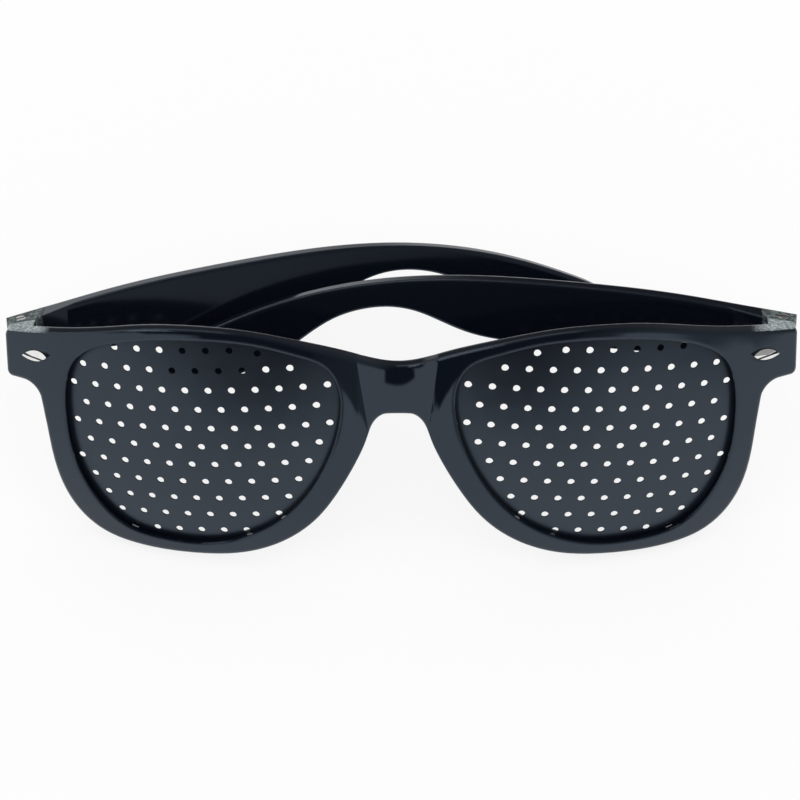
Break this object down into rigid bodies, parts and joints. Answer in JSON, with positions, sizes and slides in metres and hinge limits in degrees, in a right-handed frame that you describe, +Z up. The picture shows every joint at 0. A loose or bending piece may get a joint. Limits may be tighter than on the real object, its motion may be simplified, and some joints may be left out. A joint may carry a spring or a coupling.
{
  "type": "pinhole glasses",
  "caption": "Glossy black glasses with opaque domed lenses pierced by a triangular grid of pinholes, and hinged temples folded behind the front.",
  "frame": {"origin": "middle of the foot of the bounding box, in the pose of the picture: folded, resting on both rims and a temple", "axes": "+X to the wearer's left, -Y the way the lenses face, +Z up"},
  "size_m": [0.149, 0.0628, 0.044],
  "materials": {
    "front_plastic": "polished black",
    "lens_plastic": "polished black, opaque",
    "temple_plastic": "polished black",
    "stud_metal": "bright silver",
    "screw_steel": "bright"
  },
  "bodies": {
    "front": {"frame_front": "front_plastic", "lens_right": "lens_plastic", "lens_left": "lens_plastic", "stud_right": "stud_metal", "stud_left": "stud_metal"},
    "right_temple": {"temple_right": "temple_plastic", "hinge_screw_right": "screw_steel"},
    "left_temple": {"temple_left": "temple_plastic", "hinge_screw_left": "screw_steel"}
  },
  "joints": [
    {"name": "right_temple_hinge", "type": "hinge", "parent": "front", "child": "right_temple", "pos_m": [-0.07154, 0.00133, 0.02721], "axis": [0, 0.4761, 0.8794], "range_deg": [-2, 70]},
    {"name": "left_temple_hinge", "type": "hinge", "parent": "front", "child": "left_temple", "pos_m": [0.07176, 0.00133, 0.02721], "axis": [0, -0.4761, -0.8794], "range_deg": [-2.3, 80.5]}
  ],
  "couplings": [
    {"joint": "left_temple_hinge", "follows": "right_temple_hinge", "ratio": 1.15}
  ]
}
